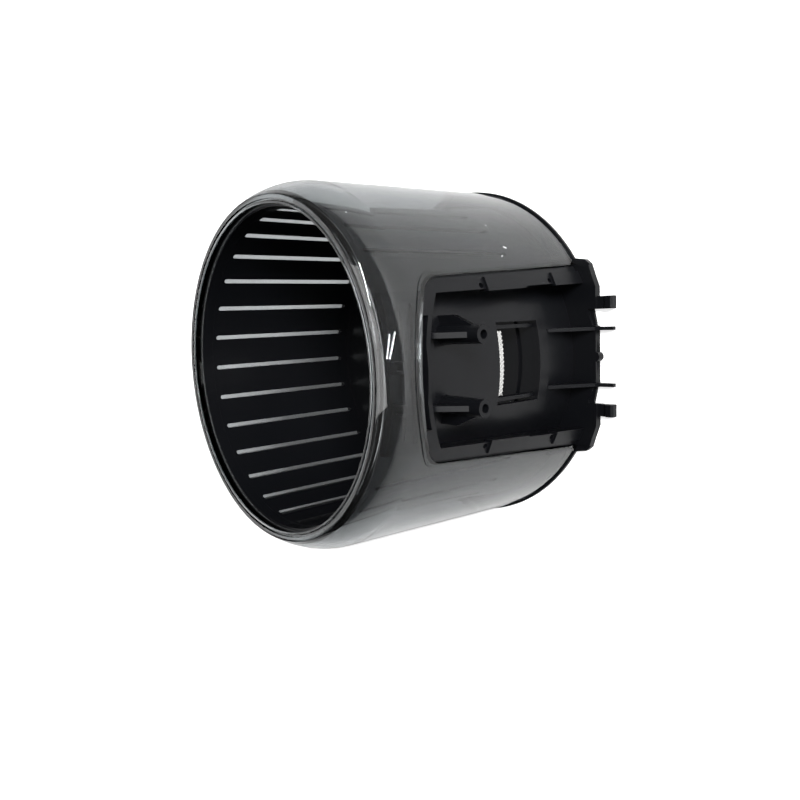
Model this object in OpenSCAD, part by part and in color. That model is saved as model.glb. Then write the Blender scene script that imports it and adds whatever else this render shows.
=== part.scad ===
// Vacuum motor cover: a smoke-tinted outer tube over a black slotted housing with a handle tray.
// The tube's axis is Z. The part stands on its rear flange at z = 0, with its mouth up.
// The handle tray faces -Y. All sizes are in millimetres.

/* [Body] */
// overall height from the rear face to the mouth
total_h = 87; // [80:1:100]
// outer radius of the shell where its rounded shoulder begins
shell_r = 57; // [55:0.5:60]
// how far the shell widens from the shoulder to its back edge
shell_flare = 1.9; // [0.5:0.1:2.2]
// wall thickness of the shell
shell_wall = 1.8; // [1.4:0.1:2.2]
// radius of the rounded shoulder
shoulder_r = 23.3; // [22.5:0.1:25]
// distance from the mouth to the start of the shoulder
shoulder_h = 13.7; // [13:0.1:15]
// how much wider the inturned lip's bore is than the liner's, as a radius
lip_step = 0.6; // [0.6:0.1:1]
// depth of the inturned lip
lip_h = 3; // [2:0.1:4]
// distance from the lip's bore to the middle of the fine groove in the mouth's front face
groove_out = 1.05; // [0.8:0.05:1.3]
// width of that groove
groove_w = 0.5; // [0.3:0.1:0.7]
// depth of that groove
groove_d = 0.7; // [0.4:0.1:1.2]

/* [Liner and flange] */
// air gap between the shell and the liner where the shoulder begins
air_gap = 4.6; // [4.5:0.1:6]
// wall thickness of the liner
liner_wall = 1.8; // [1.2:0.1:2]
// how far the rear flange stands out past the shell
flange_out = 0.5; // [0.2:0.1:1.2]
// thickness of the rear flange
flange_t = 1.3; // [1:0.1:1.8]
// height of the seat that carries the shell's back edge above the flange
seat_h = 0.5; // [0.3:0.1:0.8]
// height of the inner collar that centres the shell
collar_h = 4; // [3:0.5:6]
// how far the ring at the rear stands into the bore
rear_ring_in = 5.8; // [3:0.1:8]
// thickness of that ring
rear_ring_t = 2.4; // [1.6:0.1:3]
// height of the floor inside the liner
floor_z = 20.2; // [19.4:0.1:20.3]
// thickness of that floor
floor_t = 2; // [1.4:0.1:3]
// distance from the bore to the raised seat on the floor
floor_seat_in = 5.8; // [4:0.1:9]
// height of the raised seat above the floor
floor_seat_h = 0.8; // [0.4:0.1:1.2]
// radius of the hole in the floor for the motor's tail
tail_r = 28; // [20:0.5:34]
// number of air slots each side of the middle one
slots_side = 11; // [6:1:11]
// angle from slot to slot
slot_pitch = 12.4; // [11:0.1:12.5]
// width of an air slot
slot_w = 1.9; // [1:0.1:2.2]
// distance from the mouth to the near end of the slots
slot_top = 8; // [7:0.1:12]
// length of an air slot
slot_len = 55.7; // [40:0.1:56]

/* [Cut-out] */
// half width of the cut-out near its front corners
cut_half_front = 25.4; // [24:0.1:26]
// half width of the cut-out at the shell's back edge
cut_half_rear = 29.6; // [28:0.1:30]
// height at which the cut-out's front edge meets the middle plane
cut_top = 75.8; // [74:0.1:77]
// radius of the cut-out's bowed front edge
cut_bow_r = 47; // [44:0.5:60]
// radius of the cut-out's front corners
cut_corner = 7.5; // [5:0.5:8]
// width of the raised lip round the cut-out
rim_w = 1.9; // [1.2:0.1:2.5]
// height of the raised lip above the shell
rim_h = 0.35; // [0.2:0.05:0.6]
// gap between the shell's cut edge and the tray
cut_gap = 0.5; // [0.3:0.05:0.8]

/* [Tray] */
// radius of the arched front wall
arch_r = 36.5; // [34:0.5:40]
// height of the arched wall's crown
arch_top = 72.6; // [71:0.1:73]
// half distance between the two corner panels beside the arched wall
panel_in = 15; // [13:0.5:17]
// thickness of the tray's walls
tray_wall = 1.4; // [1:0.1:1.8]
// half width between the rails at their front end
rail_in_front = 20.9; // [19:0.1:22]
// half width between the rails at the rear wall
rail_in_rear = 24.1; // [23:0.1:25]
// thickness of a rail's top
rail_t = 1.6; // [1.2:0.1:2]
// how far the rails and the arched wall stay under the shell's surface
tray_sink = 0.3; // [0.1:0.1:1]
// length of the window through the floor
window_len = 18.8; // [14:0.1:22]
// height of the window's middle above the rear face
window_z = 29.9; // [25:0.1:32]
// width of the window
window_w = 24.6; // [18:0.1:26]
// distance between the outer sides of the two bars behind the window
bar_span = 22.8; // [21:0.1:23]
// width of a bar
bar_w = 1.1; // [0.8:0.1:1.6]
// how far a bar stands into the bore
bar_d = 2.2; // [1.4:0.1:3]
// how far the bars run on past the window towards the mouth
bar_past = 6.7; // [3:0.1:8]
// height at which the raised part of the floor ends
pad_z = 16; // [12:0.5:18]
// height of the raised part of the floor
pad_h = 0.6; // [0.3:0.1:0.6]

/* [Screw bosses] */
// how far the boss, hook and fin ends stand out past the shell's back edge
reach_out = 6.1; // [4:0.1:8]
// distance between the two bosses
boss_pitch = 19.3; // [18:0.1:21]
// height of the bosses' axes above the rear face
boss_z = 61.2; // [58:0.1:62]
// diameter of a boss at its end
boss_d = 4.9; // [4.4:0.1:6]
// diameter of a boss at its root
boss_root_d = 5.6; // [5:0.1:7]
// diameter of the hole for a self-cutting screw
hole_d = 2.5; // [2:0.1:3]
// depth of that hole
hole_depth = 12; // [8:0.5:13]
// thickness of the bosses' gussets
gusset_t = 1.5; // [1:0.1:2]

/* [Rear wall] */
// thickness of the tray's rear wall
rear_t = 2.5; // [2:0.1:3]
// how far the rear wall's flat top stands out past the shell's back edge
rear_top_out = 0.2; // [0:0.1:1]
// half width of the rear wall at its foot
wall_half = 31.7; // [31:0.1:32]
// radius of the round nub on the rear wall's top
nub_r = 1.5; // [1:0.1:2]
// half width of the hooks' outer edges
hook_out = 19.1; // [18:0.1:20]
// width of a hook
hook_w = 4; // [3:0.1:5]
// thickness of a hook
hook_t = 1.8; // [1.2:0.1:2.2]
// distance between the two fins
fin_pitch = 17.9; // [16:0.1:20]
// thickness of a fin
fin_t = 1.1; // [0.8:0.1:1.5]

/* [Woven strip] */
// thickness of the woven strip
strip_t = 0.6; // [0.4:0.1:0.8]
// length of the woven strip along the tube
strip_len = 9; // [6:0.5:12]
// gap between the woven strip and each bar
strip_gap = 0.4; // [0.3:0.05:0.8]

/* [Hidden] */
$fn = 96;
big = 200;
smoke = [0.28, 0.30, 0.32, 0.55];
black = [0.08, 0.08, 0.09];
white = [0.92, 0.92, 0.90];
seat_z = flange_t + seat_h;
shoulder_z = total_h - shoulder_h;
rear_r = shell_r + shell_flare;
draft = atan(shell_flare / (shoulder_z - seat_z));
arc_c = [shell_r - shoulder_r * cos(draft), shoulder_z - shoulder_r * sin(draft)];
liner_out = shell_r - shell_wall - air_gap;
liner_r = liner_out - liner_wall;
mouth_r = liner_r + lip_step;
groove_r = mouth_r + groove_out;
flange_r = rear_r + flange_out;
rear_ring_r = liner_r - rear_ring_in;
floor_seat_r = liner_r - floor_seat_in;
reach = rear_r + reach_out;
rear_top = rear_r + rear_top_out;
liner_top = total_h - lip_h;
arch_z = arch_top - arch_r;
boss_x = boss_pitch / 2;
fin_x = fin_pitch / 2;
hook_in = hook_out - hook_w;
slot_bottom = total_h - slot_top - slot_len;
slot_start = 2;
corner_z = 65;
gusset_x = 14.9;
tab_x = [2, -9];
rail_hole_z = [48.2, 17.6];
window_in = liner_r * cos(asin(window_w / 2 / liner_r)) - 1;
window_top = window_z + window_len / 2;
bar_out = sqrt(liner_r * liner_r - bar_span * bar_span / 4) + 0.8;
strip_half = asin((bar_span / 2 - bar_w - strip_gap) / liner_r);
wall_side = [[wall_half, 40], [wall_half, rear_top - 8.9], [wall_half - 0.7, rear_top - 4.4],
    [wall_half - 2.1, rear_top - 2.7], [wall_half - 5.3, rear_top - 1.6], [wall_half - 9.5, rear_top]];

// half width of the cut-out, or of the rails, at a height
function half_at(z, front, rear) = rear + (front - rear) * (z - seat_z) / (corner_z - seat_z);

// distance from the axis plane at which a point lies inside the liner's wall
function in_wall(x) = sqrt(pow(liner_out - 1, 2) - x * x);

// The shell's outer line from its back edge to a height, moved inwards by a distance.
function shell_line(inset, top) = let(r = shoulder_r - inset, a1 = asin((top - arc_c[1]) / r), n = 14) concat(
    [[rear_r - inset, seat_z]],
    [for (i = [0:n]) let(a = draft + (a1 - draft) * i / n) arc_c + r * [cos(a), sin(a)]]);
function backwards(line) = [for (i = [len(line) - 1:-1:0]) line[i]];

// The cut-out's outline, seen along Y, grown by a distance: straight sides, round corners, bowed front.
module cut_outline(grow) {
    cx = cut_half_front - cut_corner;
    bz = cut_top - cut_bow_r;
    cz = bz + sqrt(pow(cut_bow_r - cut_corner, 2) - cx * cx);
    join = atan2(cz - bz, cx);
    right = concat(
        [[cut_half_rear + grow, -5], [cut_half_rear + grow, seat_z]],
        [for (i = [0:6]) let(a = join * i / 6, r = cut_corner + grow) [cx + r * cos(a), cz + r * sin(a)]],
        [for (i = [1:6]) let(a = join + (90 - join) * i / 6)
            [(cut_bow_r + grow) * cos(a), bz + (cut_bow_r + grow) * sin(a)]]);
    polygon(concat(right, [for (i = [len(right) - 2:-1:0]) [-right[i][0], right[i][1]]]));
}

// A prism along -Y with a profile in X and Z, between two distances from the axis.
module toward_tray(near, far) {
    translate([0, -near, 0]) rotate([90, 0, 0]) linear_extrude(height = far - near) children();
}

// Tinted outer tube: shoulder, inturned lip with its groove, cut-out and its raised rim.
module outer_shell() {
    color(smoke) difference() {
        union() {
            rotate_extrude() polygon(concat(
                shell_line(0, total_h),
                [[groove_r + groove_w / 2, total_h], [groove_r + groove_w / 2, total_h - groove_d],
                    [groove_r - groove_w / 2, total_h - groove_d], [groove_r - groove_w / 2, total_h],
                    [mouth_r, total_h], [mouth_r, liner_top]],
                backwards(shell_line(shell_wall, liner_top))));
            intersection() {
                rotate_extrude() polygon(concat(
                    shell_line(-rim_h, cut_top + 5), backwards(shell_line(shell_wall / 2, cut_top + 5))));
                toward_tray(30, 70) cut_outline(rim_w);
            }
        }
        toward_tray(30, 70) cut_outline(0);
    }
}

// Liner tube with the rear flange, the shell's seat, the rear ring and the floor that the motor rests on.
module liner_body() {
    rotate_extrude() polygon([
        [rear_ring_r, 0], [flange_r - 0.3, 0], [flange_r, 0.3], [flange_r, flange_t],
        [rear_r - 0.8, flange_t], [rear_r - 0.8, seat_z], [liner_out, seat_z], [liner_out, liner_top],
        [liner_r, liner_top], [liner_r, floor_z], [floor_seat_r, floor_z],
        [floor_seat_r, floor_z + floor_seat_h], [tail_r, floor_z + floor_seat_h], [tail_r, floor_z - floor_t],
        [liner_r, floor_z - floor_t], [liner_r, rear_ring_t], [rear_ring_r, rear_ring_t]]);
}

// Low ring inside the shell's back edge that centres it, open at the tray.
module collar() {
    difference() {
        rotate_extrude() polygon([
            [rear_r - shell_wall - 1.6, 0.5], [rear_r - shell_wall - 0.25, 0.5],
            [rear_r - shell_wall - 0.25, seat_z],
            [rear_r - shell_wall - 0.35, collar_h], [rear_r - shell_wall - 1.6, collar_h]]);
        translate([-rail_in_rear, -big, seat_z]) cube([2 * rail_in_rear, big - liner_r / 2, big]);
    }
}

// Air slot with round ends at an angle from the middle one, cut straight along Y as a mould's slide does.
module air_slot(a) {
    mirror([0, abs(a) < 90 ? 1 : 0, 0]) toward_tray(slot_start, 70)
    translate([liner_r * sin(a), slot_bottom]) {
        translate([0, slot_w / 2]) circle(d = slot_w);
        translate([0, slot_len - slot_w / 2]) circle(d = slot_w);
        translate([-slot_w / 2, slot_w / 2]) square([slot_w, slot_len - slot_w]);
    }
}

// The tray's plan inside the rails and behind the arched wall, seen along Y, grown by a distance.
module tray_plan(grow) {
    f = rail_in_front + grow;
    r = rail_in_rear + grow;
    a = arch_r + grow;
    zj = arch_z + sqrt(a * a - f * f);
    polygon([[-r, 0.5], [r, 0.5], [half_at(zj, f, r), zj], [-half_at(zj, f, r), zj]]);
    intersection() {
        translate([0, arch_z]) circle(r = a);
        translate([-half_at(zj, f, r), zj - 1]) square([2 * half_at(zj, f, r), big]);
    }
}

// A tube segment that follows the shell a distance below its surface, cut to a plan seen along Y.
module under_shell(sink, thick) {
    intersection() {
        rotate_extrude() polygon([
            [rear_r - sink - thick, seat_z], [rear_r - sink, seat_z], [shell_r - sink, shoulder_z],
            [shell_r - sink - thick, shoulder_z]]);
        toward_tray(20, 70) children();
    }
}

// Rails and the corner panels beside the arched wall, just inside the shell's cut edge.
module rails() {
    under_shell(tray_sink, rail_t) difference() {
        cut_outline(-cut_gap);
        tray_plan(0);
        translate([-panel_in, arch_z]) square([2 * panel_in, big]);
    }
}

// The walls of the tray, from the liner to just under the shell's surface.
module tray_walls() {
    intersection() {
        toward_tray(30, 70) difference() {
            tray_plan(tray_wall);
            tray_plan(0);
        }
        rotate_extrude() polygon([[liner_out - 0.8, 0.5], [rear_r - tray_sink, 0.5],
            [shell_r - tray_sink, shoulder_z], [liner_out - 0.8, shoulder_z]]);
    }
}

// Raised tab on a rail, with the small hole beside it and a nub at its end.
module rail_tab(z0, len, side) {
    x0 = half_at(z0, rail_in_front, rail_in_rear);
    x1 = half_at(z0 + len, rail_in_front, rail_in_rear);
    intersection() {
        toward_tray(30, 70) mirror([side < 0 ? 1 : 0, 0])
            polygon([[x0 - 0.6, z0], [x0 + 3.4, z0], [x1 + 3.4, z0 + len], [x1 - 0.6, z0 + len]]);
        rotate_extrude() polygon([[rear_r - 2.6, seat_z], [rear_r + 0.5, seat_z], [shell_r + 0.5, shoulder_z],
            [shell_r - 2.6, shoulder_z]]);
    }
}

// Raised floor between the arched wall and the fins.
module floor_pad() {
    intersection() {
        toward_tray(30, 70) intersection() {
            tray_plan(0.5);
            translate([-big / 2, pad_z]) square([big, big]);
        }
        rotate_extrude() translate([liner_out - 0.8, 0]) square([pad_h + 0.8, total_h]);
    }
}

// Bar behind the window: it rises from the floor, crosses the window and ends on the liner's bore.
module window_bar(side) {
    x = side > 0 ? bar_span / 2 - bar_w : -bar_span / 2;
    translate([x, -bar_out, floor_z - floor_t / 2])
        cube([bar_w, bar_d + 0.8, window_top + bar_past - floor_z + floor_t / 2]);
}

// Screw boss with a side gusset and a front gusset.
module boss(side) {
    translate([side * boss_x, -(liner_out - 2), boss_z]) rotate([90, 0, 0])
        cylinder(h = reach - liner_out + 2, d1 = boss_root_d, d2 = boss_d);
    toward_tray_side(side, gusset_t, boss_z)
        polygon([[boss_x, liner_out - 2], [gusset_x, in_wall(gusset_x)], [gusset_x, liner_out + 4.4],
            [gusset_x - 2.9, reach - 3], [boss_x, reach - 3]]);
    rotate([90, 0, 90]) translate([0, 0, side * boss_x - gusset_t / 2]) linear_extrude(height = gusset_t)
        polygon([[-liner_out + 2, boss_z], [-liner_out + 2, arch_top - 3], [-liner_out - 3.4, arch_top - 3],
            [-liner_out - 4.9, arch_top - 4], [-reach + 3.5, boss_z + 2.6], [-reach + 3.5, boss_z]]);
}

// A plate across Z with its profile in X and the distance from the axis.
module toward_tray_side(side, t, z) {
    mirror([side < 0 ? 1 : 0, 0, 0]) translate([0, 0, z - t / 2]) mirror([0, 1, 0])
        linear_extrude(height = t) children();
}

// The rear wall's outline, seen along Z, kept within a half width.
module rear_outline(half) {
    intersection() {
        union() {
            polygon([for (s = [1, -1]) for (p = s > 0 ? wall_side : backwards(wall_side)) [s * p[0], p[1]]]);
            translate([0, rear_top - 0.2]) circle(r = nub_r);
        }
        translate([-half, 0]) square([2 * half, big]);
    }
}

// Rear wall of the tray with its flat top, notches and nub: its thicker part stays inside the cut-out.
module rear_wall() {
    mirror([0, 1, 0]) difference() {
        union() {
            linear_extrude(height = seat_z) rear_outline(wall_half);
            linear_extrude(height = rear_t) rear_outline(cut_half_rear - cut_gap);
        }
        translate([0, 0, -1]) cylinder(r = liner_out - 0.4, h = big);
        for (s = [-1, 1]) translate([0, 0, -1]) linear_extrude(height = big)
            polygon([[s * hook_in, rear_top + 1], [s * hook_in, rear_top - 2.9],
                [s * (hook_in - 1), rear_top - 3.1], [s * (fin_x + 1), rear_top - 1.1],
                [s * (fin_x + 0.7), rear_top + 1]]);
    }
}

// Hook on the rear wall's top: a straight stem with a small barb.
module hook(side) {
    rotate([90, 0, 90]) translate([0, 0, side > 0 ? hook_in : -hook_out]) linear_extrude(height = hook_w)
        polygon([[-rear_top + 3.2, 0], [-rear_top + 3.2, hook_t], [-reach + 3, hook_t],
            [-reach + 2.4, hook_t + 0.8], [-reach + 0.6, hook_t + 0.8], [-reach, hook_t], [-reach, 0]]);
}

// Long fin that climbs from the floor, over the rear wall, to its end.
module fin(side) {
    rotate([90, 0, 90]) translate([0, 0, side * fin_x - fin_t / 2]) linear_extrude(height = fin_t)
        polygon([[-liner_out + 1.6, 0], [-liner_out + 1.6, pad_z], [-liner_out, pad_z],
            [-rear_top, rear_t + 0.4], [-reach + 4, rear_t], [-reach, rear_t - 0.7], [-reach, 0.4],
            [-reach + 4, 0]]);
}

// Low nose in front of the tray, seen through the shell: a flat step with ribs and two snap tabs.
module nose() {
    intersection() {
        union() {
            toward_tray(40, liner_out + 0.7) translate([0, liner_top])
                polygon([[-19, -18], [19, -18], [21, -14], [21, -2], [-21, -2], [-21, -14]]);
            for (z = [7, 10.4]) toward_tray(40, liner_out + 2)
                translate([-18, liner_top - z]) square([36, 1.2]);
            for (x = tab_x) toward_tray(40, liner_out + 2.8)
                translate([x - 1.6, liner_top - 5.4]) square(3.2);
        }
        rotate_extrude() polygon(concat([[liner_out - 0.8, seat_z]],
            shell_line(shell_wall + 0.3, liner_top - 0.3), [[liner_out - 0.8, liner_top - 0.3]]));
    }
}

// Black housing: liner, flange and tray in one moulding.
module inner_housing() {
    color(black) difference() {
        union() {
            difference() {
                liner_body();
                for (i = [-slots_side:slots_side]) air_slot(i * slot_pitch);
            }
            collar();
            rails();
            tray_walls();
            floor_pad();
            for (s = [-1, 1]) {
                boss(s);
                hook(s);
                fin(s);
                rail_tab(30.1, 16.6, s);
                rail_tab(2.4, 14, s);
            }
            rear_wall();
            nose();
        }
        for (s = [-1, 1]) translate([s * boss_x, -reach - 1, boss_z]) rotate([-90, 0, 0])
            cylinder(h = hole_depth + 1, d = hole_d);
        toward_tray(window_in, reach) translate([-window_w / 2, window_top - window_len])
            square([window_w, window_len]);
        for (s = [-1, 1], z = rail_hole_z) toward_tray(30, 70)
            translate([s * (half_at(z, rail_in_front, rail_in_rear) + 1), z]) circle(d = 1.6);
        for (x = tab_x) toward_tray(liner_out - 0.6, reach) translate([x - 0.8, liner_top - 4.6]) square(1.6);
    }
    color(black) for (s = [-1, 1]) window_bar(s);
}

// White woven band on the inside of the liner, between the two bars behind the window.
module woven_strip() {
    color(white) translate([0, 0, window_top - 4.6])
        rotate([0, 0, -90 - strip_half]) rotate_extrude(angle = 2 * strip_half)
            translate([liner_r - strip_t, 0]) square([strip_t, strip_len]);
}

outer_shell();
inner_housing();
woven_strip();
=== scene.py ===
"""Looks for the vacuum motor cover: smoke-tinted shell, black housing, white braided strip.

Lengths are named in millimetres and turned into metres by mm(). The frame is the part's own:
+Z runs from the rear flange to the mouth, and the handle tray faces -Y.
"""
import math

import bmesh
import bpy
from mathutils import Matrix, Vector


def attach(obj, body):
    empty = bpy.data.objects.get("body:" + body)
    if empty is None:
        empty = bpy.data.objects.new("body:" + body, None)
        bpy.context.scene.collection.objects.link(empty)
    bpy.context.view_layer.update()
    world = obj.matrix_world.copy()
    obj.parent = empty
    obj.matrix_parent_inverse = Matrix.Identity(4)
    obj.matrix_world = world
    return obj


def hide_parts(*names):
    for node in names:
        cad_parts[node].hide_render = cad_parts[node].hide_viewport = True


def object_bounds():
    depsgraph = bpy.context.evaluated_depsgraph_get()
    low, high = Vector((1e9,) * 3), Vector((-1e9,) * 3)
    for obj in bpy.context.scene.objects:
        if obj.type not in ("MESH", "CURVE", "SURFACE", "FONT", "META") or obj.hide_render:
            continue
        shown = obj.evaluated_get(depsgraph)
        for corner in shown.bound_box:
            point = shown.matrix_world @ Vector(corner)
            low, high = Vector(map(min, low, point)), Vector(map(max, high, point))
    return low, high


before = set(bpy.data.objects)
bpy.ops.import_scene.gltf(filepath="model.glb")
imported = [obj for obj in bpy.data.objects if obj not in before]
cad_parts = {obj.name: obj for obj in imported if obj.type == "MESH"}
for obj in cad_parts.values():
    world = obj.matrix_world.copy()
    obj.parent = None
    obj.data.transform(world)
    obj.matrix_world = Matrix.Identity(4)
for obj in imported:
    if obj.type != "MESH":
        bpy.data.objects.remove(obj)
cad_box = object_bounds()
BODY = "root"

# The shell's sizes, in millimetres, as the part's source has them.
TOTAL_H, SEAT_Z, LIP_H = 87.0, 1.8, 3.0
SHELL_R, SHELL_FLARE, SHELL_WALL = 57.0, 1.9, 1.8
SHOULDER_R, SHOULDER_H = 23.3, 13.7
MOUTH_R, GROOVE_R, GROOVE_W, GROOVE_D = 49.4, 50.45, 0.5, 0.7
CUT_HALF_FRONT, CUT_HALF_REAR, CUT_TOP = 25.4, 29.6, 75.8
CUT_BOW_R, CUT_CORNER = 47.0, 7.5
CUT_FROM, CUT_TO = 30.0, 70.0   # the cut-out runs between these distances from the axis
RIM_W, RIM_H = 1.9, 0.35
RIM_PAST = 5.0                  # how far the band that the rim is cut from runs on past the cut-out
EDGE_R = 0.25                   # rounding of the shell's moulded edges
TURN_STEPS = 288                # straight steps round the tube
SHOULDER_STEPS = 28             # straight steps over the shoulder
SMOOTH_ANGLE = 32               # edges sharper than this stay sharp

# The liner's slotted wall, in millimetres and degrees: cut out of the housing and made again.
WALL_IN, WALL_OUT = 48.8, 50.6
WALL_LOW, WALL_HIGH = 22.2, 80.0
WALL_HALF = 142.5               # degrees either side of the tube's back
WALL_PAST = 2.0                 # how far the cut reaches past both of the wall's faces
WALL_LAP = 0.3                  # how far the new wall runs into the old one, in millimetres and degrees
WALL_PROUD = 0.06               # how far it stands over the old one's faces
WALL_STEPS = 240
SLOT_LOW, SLOT_HIGH = 23.3, 79.0
SLOT_PITCH = 12.7               # angle from slot to slot
SLOT_TURN = -1.0                # small turn of the row off the tray's middle plane
SLOTS_SIDE = 11                 # slots on each side of the middle one
SLOT_W = 1.45                   # width of the middle slot
SLOT_NARROW = 0.25              # how strongly the slots narrow towards the sides
SLOT_FAN = 0.12                 # how far they fan out, as a share of their angle
SLOT_FROM, SLOT_TO = -3.0, 12.0  # the cut's run along its own direction, from the wall's inner face

# The woven strip, in millimetres: a braid that fills the plain band's place.
LINER_R, STRIP_T, STRIP_LEN, STRIP_LOW = 48.8, 0.6, 9.0, 34.7
STRIP_HALF_W = 9.6              # half width round the bore
STRAND_PITCH = 1.27             # distance from strand to strand along the strip's edge
STRAND_R = 0.36                 # half width of a flat strand
STRAND_FLAT = 0.4               # a strand's thickness over its width
STRAND_LIFT = 0.13              # how far a strand rises over the one it crosses
STRAND_STEPS = 58
STRAND_SIDES = 8
BACK_T = 0.1                    # the thread behind the strands

# Small nicks in the shell: place, size and turn, in millimetres and degrees.
NICKS = (
    ((34.4, -46.9, 31.1), (0.5, 0.5, 1.2), 18),
    ((31.6, -48.7, 34.5), (0.25, 0.4, 0.8), -30),
    ((41.5, -40.6, 32.4), (0.3, 0.4, 0.45), 35),
    ((43.0, -35.0, 81.0), (0.3, 0.4, 0.3), 0))

# Colours, as shares of red, green and blue light.
SMOKE_TINT = (0.63, 0.655, 0.665, 1)
SMOKE_LONG = (0.2, 0.23, 0.25, 1)        # the smoke's colour along a longer way through the wall
SMOKE_DEPTH = 80.0                       # how fast it darkens along that way, per metre
BLACK = (0.004, 0.0043, 0.0054, 1)
THREAD_DARK, THREAD_LIGHT = (0.36, 0.36, 0.35, 1), (0.56, 0.56, 0.55, 1)

# The camera, in millimetres, with its axes in the part's frame.
CAMERA_AT = (14.67, -190.7, 199.1)
CAMERA_RIGHT = (-0.03709, -0.65661, -0.75328)
CAMERA_UP = (0.99278, 0.06164, -0.10263)
CAMERA_LENS = 32.32
CAMERA_SENSOR = 36.0

# The studio.
WORLD_BRIGHT, WORLD_DIM = 0.4, 0.03   # the room's level on the window's side and on the far side
WORLD_FROM = (0.43, -0.82, 0.38)       # where the window's side lies
BACKDROP = 1.0                  # the white behind the floor, seen by the camera only
FLOOR_GLOW = 0.7                # seen by the camera
FLOOR_GLOW_MIRRORED = 0.01      # seen in reflections and through the shell
FLOOR_HALF = 6.0                # metres
KEY_AT, KEY_AIM = (875.0, -1750.0, 1375.0), (0.0, 0.0, 40.0)
KEY_SIZE, KEY_WATTS = 750.0, 84.0

# Lamps that only show as reflections: the point they are seen from in millimetres, the directions of
# their two ends, their width in millimetres and their power in watts.
MIRRORED_LAMPS = (
    ("panel", (12, -51, 86), (0.79, -0.25, 0.54), (-0.45, -0.71, 0.54), 430, 5.5),
    ("far_panel", (0, 0, 87), (0.29, 0.8, 0.53), (-0.37, 0.76, 0.53), 310, 0.8),
    ("long_streak", (23.2, -47.7, 85.7), (0.859, -0.42, 0.291), (0.538, -0.707, 0.459), 13, 0.8),
    ("left_streak", (8.0, -53.5, 83.7), (0.33, -0.921, 0.208), (0.087, -0.931, 0.355), 18, 0.5),
    ("right_streak", (8.0, -54.0, 82.8), (0.331, -0.94, 0.08), (0.086, -0.952, 0.294), 22, 0.6))
LAMP_DISTANCE = 800.0


def mm(value):
    """Millimetres as metres."""
    return value * 0.001


# ---------------------------------------------------------------- small helpers


def keep_as_plain_mesh(name, obj):
    """The evaluated mesh of an object, as a new plain object; the old one goes."""
    graph = bpy.context.evaluated_depsgraph_get()
    mesh = bpy.data.meshes.new_from_object(obj.evaluated_get(graph))
    bpy.data.objects.remove(obj)
    mesh.name = name
    return link(name, mesh)


def link(name, mesh):
    """A new object in the scene."""
    obj = bpy.data.objects.new(name, mesh)
    bpy.context.scene.collection.objects.link(obj)
    return obj


def dress(obj, material):
    """One material on the whole object."""
    obj.data.materials.clear()
    obj.data.materials.append(material)


def shade_by_angle(mesh, degrees):
    """Smooth shading, broken where two faces meet at more than an angle."""
    work = bmesh.new()
    work.from_mesh(mesh)
    bmesh.ops.remove_doubles(work, verts=work.verts, dist=mm(0.0005))
    for face in work.faces:
        face.smooth = True
    for edge in work.edges:
        edge.smooth = len(edge.link_faces) == 2 and edge.calc_face_angle(0.0) < math.radians(degrees)
    work.to_mesh(mesh)
    work.free()


# ---------------------------------------------------------------- smoke shell


def round_corner(before, corner, after, radius, steps=4):
    """Points that round a profile's corner with an arc-like curve."""
    to_before = (Vector(before) - Vector(corner)).normalized() * radius
    to_after = (Vector(after) - Vector(corner)).normalized() * radius
    points = []
    for i in range(steps + 1):
        t = i / steps
        points.append(Vector(corner) + to_before * (1 - t) ** 2 + to_after * t ** 2)
    return [tuple(p) for p in points]


def shell_arc(inset, top):
    """The shell's outer line moved inwards: from the back edge over the shoulder to a height."""
    shoulder_z = TOTAL_H - SHOULDER_H
    draft = math.atan(SHELL_FLARE / (shoulder_z - SEAT_Z))
    centre_r = SHELL_R - SHOULDER_R * math.cos(draft)
    centre_z = shoulder_z - SHOULDER_R * math.sin(draft)
    r = SHOULDER_R - inset
    last = math.asin((top - centre_z) / r)
    line = [(SHELL_R + SHELL_FLARE - inset, SEAT_Z)]
    for i in range(SHOULDER_STEPS + 1):
        a = draft + (last - draft) * i / SHOULDER_STEPS
        line.append((centre_r + r * math.cos(a), centre_z + r * math.sin(a)))
    return line


def rounded(profile, corners):
    """A closed profile with the named corners rounded."""
    out = []
    for i, point in enumerate(profile):
        if i in corners:
            out += round_corner(profile[i - 1], point, profile[(i + 1) % len(profile)], corners[i])
        else:
            out.append(point)
    return out


def revolved(name, profile):
    """A closed ring made by turning a profile of radius and height about Z."""
    work = bmesh.new()
    rings = []
    for i in range(TURN_STEPS):
        a = 2 * math.pi * i / TURN_STEPS
        rings.append([work.verts.new((mm(r) * math.cos(a), mm(r) * math.sin(a), mm(z)))
                      for r, z in profile])
    n = len(profile)
    for i in range(TURN_STEPS):
        a, b = rings[i], rings[(i + 1) % TURN_STEPS]
        for j in range(n):
            work.faces.new((a[j], b[j], b[(j + 1) % n], a[(j + 1) % n]))
    bmesh.ops.recalc_face_normals(work, faces=work.faces)
    mesh = bpy.data.meshes.new(name)
    work.to_mesh(mesh)
    work.free()
    return link(name, mesh)


def cut_outline(grow, steps=10):
    """The cut-out's outline seen along Y: straight sides, round corners, bowed front."""
    corner_x = CUT_HALF_FRONT - CUT_CORNER
    bow_z = CUT_TOP - CUT_BOW_R
    corner_z = bow_z + math.sqrt((CUT_BOW_R - CUT_CORNER) ** 2 - corner_x ** 2)
    join = math.atan2(corner_z - bow_z, corner_x)
    right = [(CUT_HALF_REAR + grow, -5.0), (CUT_HALF_REAR + grow, SEAT_Z)]
    for i in range(steps + 1):
        a = join * i / steps
        r = CUT_CORNER + grow
        right.append((corner_x + r * math.cos(a), corner_z + r * math.sin(a)))
    for i in range(1, steps + 1):
        a = join + (math.pi / 2 - join) * i / steps
        right.append(((CUT_BOW_R + grow) * math.cos(a), bow_z + (CUT_BOW_R + grow) * math.sin(a)))
    return right + [(-x, z) for x, z in reversed(right[:-1])]


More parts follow.
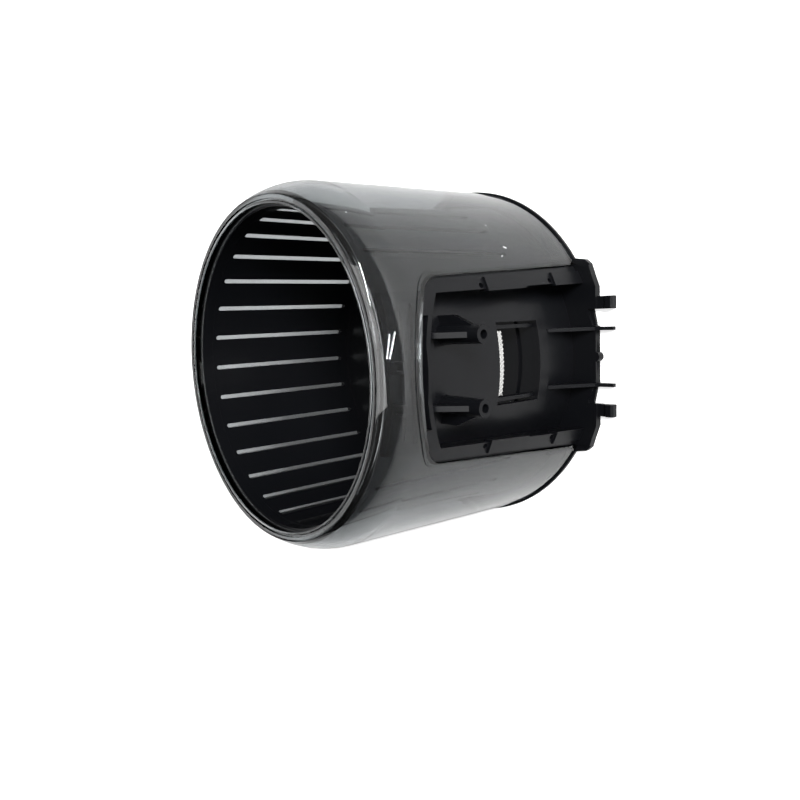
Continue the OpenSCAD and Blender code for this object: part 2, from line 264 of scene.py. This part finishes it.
def prism_toward_tray(name, outline, near, far):
    """A closed prism along -Y over an outline in X and Z."""
    work = bmesh.new()
    front = [work.verts.new((mm(x), mm(-far), mm(z))) for x, z in outline]
    back = [work.verts.new((mm(x), mm(-near), mm(z))) for x, z in outline]
    n = len(outline)
    work.faces.new(front)
    work.faces.new(list(reversed(back)))
    for i in range(n):
        work.faces.new((front[i], back[i], back[(i + 1) % n], front[(i + 1) % n]))
    bmesh.ops.recalc_face_normals(work, faces=work.faces)
    mesh = bpy.data.meshes.new(name)
    work.to_mesh(mesh)
    work.free()
    return link(name, mesh)


def combine(target, tool, operation):
    """A boolean of two closed objects, applied; the tool goes."""
    step = target.modifiers.new("combine", "BOOLEAN")
    step.operation = operation
    step.solver = "EXACT"
    step.object = tool
    name = target.name
    target.name = name + "_before"
    done = keep_as_plain_mesh(name, target)
    bpy.data.objects.remove(tool)
    return done


def build_shell():
    """The tinted outer tube with its shoulder, lip, groove, cut-out and raised rim."""
    liner_top = TOTAL_H - LIP_H
    outer = shell_arc(0.0, TOTAL_H)
    half = GROOVE_W / 2
    front = [(GROOVE_R + half, TOTAL_H), (GROOVE_R + half, TOTAL_H - GROOVE_D),
             (GROOVE_R - half, TOTAL_H - GROOVE_D), (GROOVE_R - half, TOTAL_H),
             (MOUTH_R, TOTAL_H), (MOUTH_R, liner_top)]
    inner = list(reversed(shell_arc(SHELL_WALL, liner_top)))
    profile = outer + front + inner
    k = len(outer)
    corners = {0: EDGE_R, k - 1: EDGE_R, k: EDGE_R / 2, k + 3: EDGE_R / 2, k + 4: EDGE_R, k + 5: EDGE_R}
    shell = revolved("smoke_shell", rounded(profile, corners))
    band_top = CUT_TOP + RIM_PAST
    under = list(reversed(shell_arc(SHELL_WALL / 2, band_top)))
    band = revolved("rim_band", shell_arc(-RIM_H, band_top) + under)
    keep = prism_toward_tray("rim_keep", cut_outline(RIM_W), CUT_FROM, CUT_TO)
    band = combine(band, keep, "INTERSECT")
    shell = combine(shell, band, "UNION")
    cutter = prism_toward_tray("cutter", cut_outline(0.0), CUT_FROM, CUT_TO)
    shell = combine(shell, cutter, "DIFFERENCE")
    shade_by_angle(shell.data, SMOOTH_ANGLE)
    return shell


# ---------------------------------------------------------------- slotted housing


def ring_part(name, inner, outer, low, high, half):
    """A closed part of a ring, centred on the tube's back."""
    work = bmesh.new()
    rows = []
    for i in range(WALL_STEPS + 1):
        a = math.radians(half) * (2 * i / WALL_STEPS - 1)
        rows.append([work.verts.new((mm(r) * math.sin(a), mm(r) * math.cos(a), mm(z)))
                     for r, z in ((inner, low), (outer, low), (outer, high), (inner, high))])
    for one, two in zip(rows, rows[1:]):
        for j in range(4):
            k = (j + 1) % 4
            work.faces.new((one[j], one[k], two[k], two[j]))
    work.faces.new(rows[0])
    work.faces.new(list(reversed(rows[-1])))
    bmesh.ops.recalc_face_normals(work, faces=work.faces)
    mesh = bpy.data.meshes.new(name)
    work.to_mesh(mesh)
    work.free()
    return link(name, mesh)


def slot_outline(width, steps=6):
    """A slot's outline with round ends: offset across and height."""
    half = width / 2
    points = []
    for centre, start in ((SLOT_HIGH - half, 0.0), (SLOT_LOW + half, math.pi)):
        for i in range(steps + 1):
            a = start + math.pi * i / steps
            points.append((half * math.cos(a), centre + half * math.sin(a)))
    return points


def add_slot(work, angle):
    """One slot's cutter, drawn out of the mould on its own half of the wall."""
    to_back = 1.0 if abs(angle) < 90 else -1.0
    b = angle if to_back > 0 else math.copysign(180 - abs(angle), angle)
    lean = math.radians(SLOT_FAN * b)
    here = Vector((WALL_IN * math.sin(math.radians(b)), to_back * WALL_IN * math.cos(math.radians(b)), 0.0))
    along = Vector((math.sin(lean), to_back * math.cos(lean), 0.0))
    across = Vector((along.y, -along.x, 0.0))
    outline = slot_outline(SLOT_W * max(math.cos(math.radians(b)), 0.02) ** SLOT_NARROW)
    ends = []
    for run in (SLOT_FROM, SLOT_TO):
        ends.append([work.verts.new((here + along * run + across * u + Vector((0, 0, z))) * 0.001)
                     for u, z in outline])
    n = len(outline)
    work.faces.new(ends[0])
    work.faces.new(list(reversed(ends[1])))
    for i in range(n):
        k = (i + 1) % n
        work.faces.new((ends[0][i], ends[1][i], ends[1][k], ends[0][k]))


def build_slots():
    """The whole row of slot cutters."""
    work = bmesh.new()
    for i in range(-SLOTS_SIDE, SLOTS_SIDE + 1):
        add_slot(work, i * SLOT_PITCH + SLOT_TURN)
    bmesh.ops.recalc_face_normals(work, faces=work.faces)
    mesh = bpy.data.meshes.new("slots")
    work.to_mesh(mesh)
    work.free()
    return link("slots", mesh)


def even_normals(obj):
    """Flat faces shaded flat beside rounded ones."""
    step = obj.modifiers.new("even", "WEIGHTED_NORMAL")
    step.keep_sharp = True
    name = obj.name
    obj.name = name + "_before"
    return keep_as_plain_mesh(name, obj)


def build_housing(source):
    """The housing with its slotted wall made again: narrower slots that fan out and stay apart."""
    mesh = source.data.copy()
    mesh.transform(source.matrix_world)
    mesh.materials.clear()
    housing = link("slotted_housing", mesh)
    shade_by_angle(mesh, SMOOTH_ANGLE)
    gap = ring_part("gap", WALL_IN - WALL_PAST, WALL_OUT + WALL_PAST, WALL_LOW, WALL_HIGH, WALL_HALF)
    housing = combine(housing, gap, "DIFFERENCE")
    wall = ring_part("wall", WALL_IN - WALL_PROUD, WALL_OUT + WALL_PROUD, WALL_LOW - WALL_LAP,
                     WALL_HIGH + WALL_LAP, WALL_HALF + WALL_LAP)
    wall = combine(wall, build_slots(), "DIFFERENCE")
    housing = combine(housing, wall, "UNION")
    shade_by_angle(housing.data, SMOOTH_ANGLE)
    return even_normals(housing)


# ---------------------------------------------------------------- braided strip


class Nodes:
    """Short ways to add and join nodes in one tree."""

    def __init__(self, tree):
        self.tree = tree

    def add(self, kind, values=None, **settings):
        """A node with its settings, and values or links on its inputs."""
        node = self.tree.nodes.new(kind)
        for key, value in settings.items():
            setattr(node, key, value)
        for key, value in (values or {}).items():
            self.put(value, node.inputs[key])
        return node

    def put(self, value, socket):
        """A link from a socket, or a constant."""
        if isinstance(value, bpy.types.NodeSocket):
            self.tree.links.new(value, socket)
        else:
            socket.default_value = value

    def math(self, operation, a, b=0.0):
        """One arithmetic step."""
        return self.add("ShaderNodeMath", {0: a, 1: b}, operation=operation).outputs[0]

    def vector(self, x=0.0, y=0.0, z=0.0):
        """A vector from three numbers."""
        return self.add("ShaderNodeCombineXYZ", {0: x, 1: y, 2: z}).outputs[0]

    def position(self):
        """The three parts of a point's position."""
        here = self.add("GeometryNodeInputPosition").outputs[0]
        return self.add("ShaderNodeSeparateXYZ", {0: here}).outputs


def strand_family(nodes, given, lean):
    """Flat strands that all lean one way, over and under the other family, before bending."""
    m = nodes.math
    width, length, pitch = given["Half Width"], given["Length"], given["Pitch"]
    first = m("MULTIPLY", m("ADD", width, length) if lean > 0 else width, -1.0)
    count = m("ADD", m("CEIL", m("DIVIDE", m("ADD", m("MULTIPLY", width, 2.0), length), pitch)), 1.0)
    row = nodes.add("GeometryNodeMeshLine", {
        "Count": count, "Start Location": nodes.vector(first), "Offset": nodes.vector(pitch)})
    end = nodes.vector(m("MULTIPLY", length, lean), 0.0, length)
    line = nodes.add("GeometryNodeCurvePrimitiveLine", {"End": end})
    fine = nodes.add("GeometryNodeResampleCurve", {"Curve": line.outputs[0], "Count": given["Steps"]})
    many = nodes.add("GeometryNodeInstanceOnPoints", {"Points": row.outputs[0], "Instance": fine.outputs[0]})
    real = nodes.add("GeometryNodeRealizeInstances", {"Geometry": many.outputs[0]})
    outside = m("GREATER_THAN", m("ABSOLUTE", nodes.position()[0]), width)
    kept = nodes.add("GeometryNodeDeleteGeometry", {"Geometry": real.outputs[0], "Selection": outside})
    shift = m("ADD", m("ADD", nodes.position()[0], width), m("MULTIPLY", length, 0.5))
    wave = m("COSINE", m("MULTIPLY", m("DIVIDE", shift, pitch), 2 * math.pi))
    rise = m("MULTIPLY", m("MULTIPLY", wave, lean), m("DIVIDE", given["Lift"], given["Flatness"]))
    over = nodes.vector(0.0, rise)
    woven = nodes.add("GeometryNodeSetPosition", {"Geometry": kept.outputs[0], "Offset": over})
    outline = nodes.add("GeometryNodeCurvePrimitiveCircle", {
        "Resolution": given["Sides"], "Radius": given["Strand Radius"]})
    tube = nodes.add("GeometryNodeCurveToMesh", {
        "Curve": woven.outputs[0], "Profile Curve": outline.outputs[0], "Fill Caps": True})
    return tube.outputs[0]


def backing(nodes, given):
    """The thread behind the strands: a thin band, before bending."""
    m = nodes.math
    thick = m("DIVIDE", given["Back"], given["Flatness"])
    size = nodes.vector(m("MULTIPLY", given["Half Width"], 2.0), thick, given["Length"])
    band = nodes.add("GeometryNodeMeshCube", {"Size": size, "Vertices X": given["Steps"]})
    up = nodes.vector(0.0, 0.0, m("MULTIPLY", given["Length"], 0.5))
    return nodes.add("GeometryNodeTransform", {"Geometry": band.outputs[0], "Translation": up}).outputs[0]


def braid_group():
    """Node group: a flat braid bent to the liner's bore on the tray's side."""
    group = bpy.data.node_groups.new("braid", "GeometryNodeTree")
    group.interface.new_socket("Geometry", in_out="OUTPUT", socket_type="NodeSocketGeometry")
    kinds = {"Bend Radius": "Float", "Half Width": "Float", "Length": "Float", "Low Edge": "Float",
             "Pitch": "Float", "Strand Radius": "Float", "Flatness": "Float", "Lift": "Float",
             "Back": "Float", "Steps": "Int", "Sides": "Int", "Thread": "Material"}
    for name, kind in kinds.items():
        group.interface.new_socket(name, in_out="INPUT", socket_type="NodeSocket" + kind)
    nodes = Nodes(group)
    given = nodes.add("NodeGroupInput").outputs
    m = nodes.math
    joined = nodes.add("GeometryNodeJoinGeometry")
    right, left = strand_family(nodes, given, 1.0), strand_family(nodes, given, -1.0)
    for part in (right, left, backing(nodes, given)):
        group.links.new(part, joined.inputs[0])
    x, y, z = nodes.position()
    turn = m("DIVIDE", x, given["Bend Radius"])
    r = m("ADD", given["Bend Radius"], m("MULTIPLY", y, given["Flatness"]))
    toward_tray = m("MULTIPLY", m("MULTIPLY", r, m("COSINE", turn)), -1.0)
    bent = nodes.vector(m("MULTIPLY", r, m("SINE", turn)), toward_tray, m("ADD", z, given["Low Edge"]))
    wrap = nodes.add("GeometryNodeSetPosition", {"Geometry": joined.outputs[0], "Position": bent})
    real = nodes.add("GeometryNodeRealizeInstances", {"Geometry": wrap.outputs[0]})
    smooth = nodes.add("GeometryNodeSetShadeSmooth", {"Geometry": real.outputs[0]})
    paint = nodes.add("GeometryNodeSetMaterial", {"Geometry": smooth.outputs[0], "Material": given["Thread"]})
    out = nodes.add("NodeGroupOutput")
    group.links.new(paint.outputs[0], out.inputs[0])
    return group


def build_braid(thread):
    """The woven strip as a braid of flat strands."""
    carrier = link("braid_carrier", bpy.data.meshes.new("braid_carrier"))
    weave = carrier.modifiers.new("weave", "NODES")
    group = braid_group()
    values = {"Bend Radius": mm(LINER_R - STRIP_T / 2), "Half Width": mm(STRIP_HALF_W),
              "Length": mm(STRIP_LEN), "Low Edge": mm(STRIP_LOW), "Pitch": mm(STRAND_PITCH),
              "Strand Radius": mm(STRAND_R), "Flatness": STRAND_FLAT, "Lift": mm(STRAND_LIFT),
              "Back": mm(BACK_T), "Steps": STRAND_STEPS, "Sides": STRAND_SIDES, "Thread": thread}
    weave.node_group = group
    for item in group.interface.items_tree:
        if item.in_out == "INPUT":
            weave[item.identifier] = values[item.name]
    braid = keep_as_plain_mesh("braided_strip", carrier)
    work = bmesh.new()
    work.from_mesh(braid.data)
    bmesh.ops.recalc_face_normals(work, faces=work.faces)
    work.to_mesh(braid.data)
    work.free()
    braid.data.validate()
    return braid


# ---------------------------------------------------------------- materials


def principled(name, **sockets):
    """A material with one principled shader and constant values on its sockets."""
    material = bpy.data.materials.new(name)
    material.use_nodes = True
    nodes = Nodes(material.node_tree)
    shader = material.node_tree.nodes["Principled BSDF"]
    for socket, value in sockets.items():
        shader.inputs[socket.replace("_", " ")].default_value = value
    return material, shader, nodes


def noise(nodes, coords, scale, detail=2.0):
    """A noise pattern's grey value."""
    pattern = nodes.add("ShaderNodeTexNoise", {"Vector": coords, "Scale": scale, "Detail": detail})
    return pattern.outputs["Fac"]


def between(nodes, value, low, high):
    """A value from 0 to 1 moved to a range."""
    return nodes.add("ShaderNodeMapRange", {"Value": value, "To Min": low, "To Max": high}).outputs[0]


def bump(nodes, height, strength, distance):
    """Normals tilted by a height pattern."""
    tilt = nodes.add("ShaderNodeBump", {"Height": height, "Strength": strength, "Distance": mm(distance)})
    return tilt.outputs[0]


def nick_mask(nodes, coords, place, half, turn):
    """One where a small nick lies, falling to nothing round it."""
    local = nodes.add("ShaderNodeMapping", {
        "Vector": coords, "Location": [mm(v) for v in place], "Scale": [mm(v) for v in half],
        "Rotation": (0.0, math.radians(turn), 0.0)}, vector_type="TEXTURE").outputs[0]
    rough = nodes.add("ShaderNodeTexNoise", {"Vector": local, "Scale": 1.3, "Detail": 2.0}).outputs["Fac"]
    ball = nodes.add("ShaderNodeTexGradient", {"Vector": local}, gradient_type="SPHERICAL").outputs["Fac"]
    edge = nodes.math("MULTIPLY", ball, between(nodes, rough, 0.6, 3.4))
    return nodes.add("ShaderNodeMapRange", {"Value": edge, "From Min": 0.35, "From Max": 0.75}).outputs[0]


def smoke_plastic():
    """Glossy clear plastic with a grey smoke tint, faint wipe marks and a few nicks."""
    material, shader, nodes = principled(
        "smoke_plastic", Base_Color=SMOKE_TINT, IOR=1.53, Transmission_Weight=1.0)
    tree = material.node_tree
    coords = nodes.add("ShaderNodeTexCoord").outputs["Object"]
    nodes.put(between(nodes, noise(nodes, coords, 55.0, 4.0), 0.012, 0.05), shader.inputs["Roughness"])
    nicks = 0.0
    for place, half, turn in NICKS:
        nicks = nodes.math("MAXIMUM", nick_mask(nodes, coords, place, half, turn), nicks)
    chalk = nodes.add("ShaderNodeBsdfDiffuse", {"Color": (0.85, 0.87, 0.88, 1)})
    both = nodes.add("ShaderNodeMixShader", {0: nodes.math("MULTIPLY", nicks, 0.85), 1: shader.outputs[0],
                                             2: chalk.outputs[0]})
    tree.links.new(both.outputs[0], tree.nodes["Material Output"].inputs["Surface"])
    depth = nodes.add("ShaderNodeVolumeAbsorption", {"Color": SMOKE_LONG, "Density": SMOKE_DEPTH})
    tree.links.new(depth.outputs[0], tree.nodes["Material Output"].inputs["Volume"])
    return material


def black_moulding():
    """Satin black plastic with a fine moulded grain, faint flow marks and handling sheen."""
    material, shader, nodes = principled(
        "black_moulding", Base_Color=BLACK, Specular_IOR_Level=0.22)
    coords = nodes.add("ShaderNodeTexCoord").outputs["Object"]
    sheen = between(nodes, noise(nodes, coords, 70.0, 3.0), 0.24, 0.4)
    nodes.put(sheen, shader.inputs["Roughness"])
    grain = bump(nodes, noise(nodes, coords, 1500.0), 0.05, 0.05)
    nodes.put(grain, shader.inputs["Normal"])
    return material


def white_cord():
    """Off-white thread with fine fibres."""
    material, shader, nodes = principled("white_thread", Roughness=0.75)
    coords = nodes.add("ShaderNodeTexCoord").outputs["Object"]
    fibre = noise(nodes, coords, 4200.0, 3.0)
    shade = nodes.add("ShaderNodeMix", {0: fibre, 6: THREAD_DARK, 7: THREAD_LIGHT}, data_type="RGBA")
    nodes.put(shade.outputs[2], shader.inputs["Base Color"])
    nodes.put(bump(nodes, fibre, 0.4, 0.05), shader.inputs["Normal"])
    return material


# ---------------------------------------------------------------- studio


def floor_material():
    """White floor, seen as white by the camera and in reflections, that still takes a shadow."""
    material, shader, nodes = principled("studio_floor", Base_Color=(0.9, 0.9, 0.9, 1), Roughness=0.9)
    tree = material.node_tree
    path = nodes.add("ShaderNodeLightPath").outputs
    direct = nodes.math("MULTIPLY", path["Is Camera Ray"], FLOOR_GLOW)
    mirrored = nodes.math("MULTIPLY", path["Is Glossy Ray"], FLOOR_GLOW_MIRRORED)
    glow = nodes.add("ShaderNodeEmission", {"Strength": nodes.math("MAXIMUM", direct, mirrored)})
    both = nodes.add("ShaderNodeAddShader", {0: shader.outputs[0], 1: glow.outputs[0]})
    tree.links.new(both.outputs[0], tree.nodes["Material Output"].inputs["Surface"])
    return material


def build_floor():
    """A large plain floor under the part."""
    mesh = bpy.data.meshes.new("floor")
    low = cad_box[0][2]
    corners = [(x * FLOOR_HALF, y * FLOOR_HALF, low) for x, y in ((-1, -1), (1, -1), (1, 1), (-1, 1))]
    mesh.from_pydata(corners, [], [(0, 1, 2, 3)])
    floor = link("studio_floor", mesh)
    dress(floor, floor_material())


def build_world():
    """Plain white light from all round, stronger on the window's side."""
    world = bpy.data.worlds.new("studio")
    bpy.context.scene.world = world
    world.use_nodes = True
    background = world.node_tree.nodes["Background"]
    background.inputs["Color"].default_value = (1.0, 1.0, 1.0, 1)
    nodes = Nodes(world.node_tree)
    toward = nodes.add("ShaderNodeTexCoord").outputs["Generated"]
    side = nodes.add("ShaderNodeVectorMath", {0: toward, 1: WORLD_FROM}, operation="DOT_PRODUCT")
    level = nodes.add("ShaderNodeMapRange", {
        "Value": side.outputs["Value"], "From Min": -0.5, "From Max": 0.9,
        "To Min": WORLD_DIM, "To Max": WORLD_BRIGHT}).outputs[0]
    seen = nodes.add("ShaderNodeLightPath").outputs["Is Camera Ray"]
    backdrop = nodes.math("MULTIPLY", seen, BACKDROP)
    nodes.put(nodes.math("MAXIMUM", level, backdrop), background.inputs["Strength"])


def area_light(name, at, target, size_x, size_y, watts):
    """A soft rectangular lamp aimed at a point; places and sizes in millimetres."""
    data = bpy.data.lights.new(name, "AREA")
    data.shape = "RECTANGLE"
    data.size = mm(size_x)
    data.size_y = mm(size_y)
    data.energy = watts
    lamp = bpy.data.objects.new(name, data)
    bpy.context.scene.collection.objects.link(lamp)
    lamp.location = [mm(v) for v in at]
    aim = Vector(target) - Vector(at)
    lamp.rotation_euler = aim.to_track_quat("-Z", "Y").to_euler()
    return lamp


def strip_lamp(name, seen_from, toward_one_end, toward_other_end, width, watts):
    """A long thin lamp whose reflection runs between two directions seen from a point on the shell."""
    one = Vector(seen_from) + Vector(toward_one_end).normalized() * LAMP_DISTANCE
    other = Vector(seen_from) + Vector(toward_other_end).normalized() * LAMP_DISTANCE
    along = other - one
    lamp = area_light(name, (one + other) / 2, seen_from, along.length, width, watts)
    back = ((one + other) / 2 - Vector(seen_from)).normalized()
    side = along.normalized()
    up = back.cross(side)
    lamp.rotation_euler = Matrix((side, up, back)).transposed().to_euler()
    return lamp


def build_lights():
    """A soft main lamp, a broad panel and thin lamps that draw the bright streaks on the shoulder."""
    key = area_light("key", KEY_AT, KEY_AIM, KEY_SIZE, KEY_SIZE, KEY_WATTS)
    key.visible_glossy = False
    for name, seen_from, one_end, other_end, width, watts in MIRRORED_LAMPS:
        lamp = strip_lamp(name, seen_from, one_end, other_end, width, watts)
        lamp.visible_diffuse = False


def build_camera():
    """The photograph's viewpoint: over the mouth, with the tube's axis across the picture."""
    data = bpy.data.cameras.new("camera")
    data.lens = CAMERA_LENS
    data.sensor_width = CAMERA_SENSOR
    data.clip_start = 0.01
    camera = bpy.data.objects.new("camera", data)
    bpy.context.scene.collection.objects.link(camera)
    right = Vector(CAMERA_RIGHT).normalized()
    up = Vector(CAMERA_UP)
    up = (up - right * up.dot(right)).normalized()
    back = right.cross(up)
    turn = Matrix((right, up, back)).transposed().to_4x4()
    camera.matrix_world = Matrix.Translation([mm(v) for v in CAMERA_AT]) @ turn
    bpy.context.scene.camera = camera


# ---------------------------------------------------------------- the scene


def finish_piece(obj, node):
    """Hands a visual piece to the frame in place of a node's own mesh."""
    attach(obj, BODY)
    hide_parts(node)


bpy.context.scene.view_settings.view_transform = "Standard"
build_camera()
build_world()
build_floor()
build_lights()

shell = build_shell()
dress(shell, smoke_plastic())
finish_piece(shell, "outer_shell")
braid = build_braid(white_cord())
finish_piece(braid, "woven_strip")
housing = build_housing(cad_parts["inner_housing"])
dress(housing, black_moulding())
finish_piece(housing, "inner_housing")
